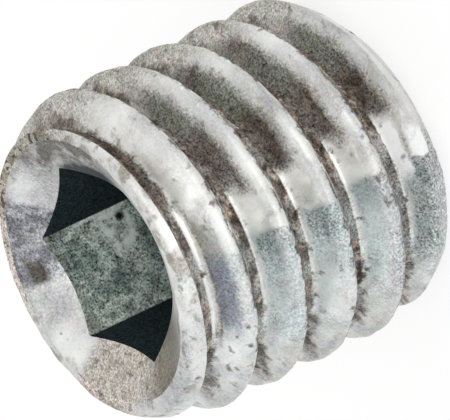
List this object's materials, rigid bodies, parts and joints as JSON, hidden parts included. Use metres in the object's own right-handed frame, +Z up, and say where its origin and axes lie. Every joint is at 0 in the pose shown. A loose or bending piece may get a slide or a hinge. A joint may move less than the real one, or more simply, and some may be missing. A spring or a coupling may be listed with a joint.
{
  "type": "grub set screw",
  "caption": "Short headless set screw with a coarse right-hand metric thread from end to end, a countersunk hexagon key socket in one end and a chamfered flat point on the other.",
  "frame": {"origin": "middle of the flat point, on the surface that the screw stands on", "axes": "+Z up along the thread axis from the flat point to the socket mouth; +X through a corner of the hexagon socket"},
  "size_m": [0.004, 0.004, 0.0037],
  "materials": {
    "worn_zinc_plated_steel": "used bright zinc plating, speckled and dulled, with dark grease and dirt in the thread roots and the socket"
  },
  "bodies": {
    "root": {"set_screw": "worn_zinc_plated_steel"}
  },
  "joints": []
}
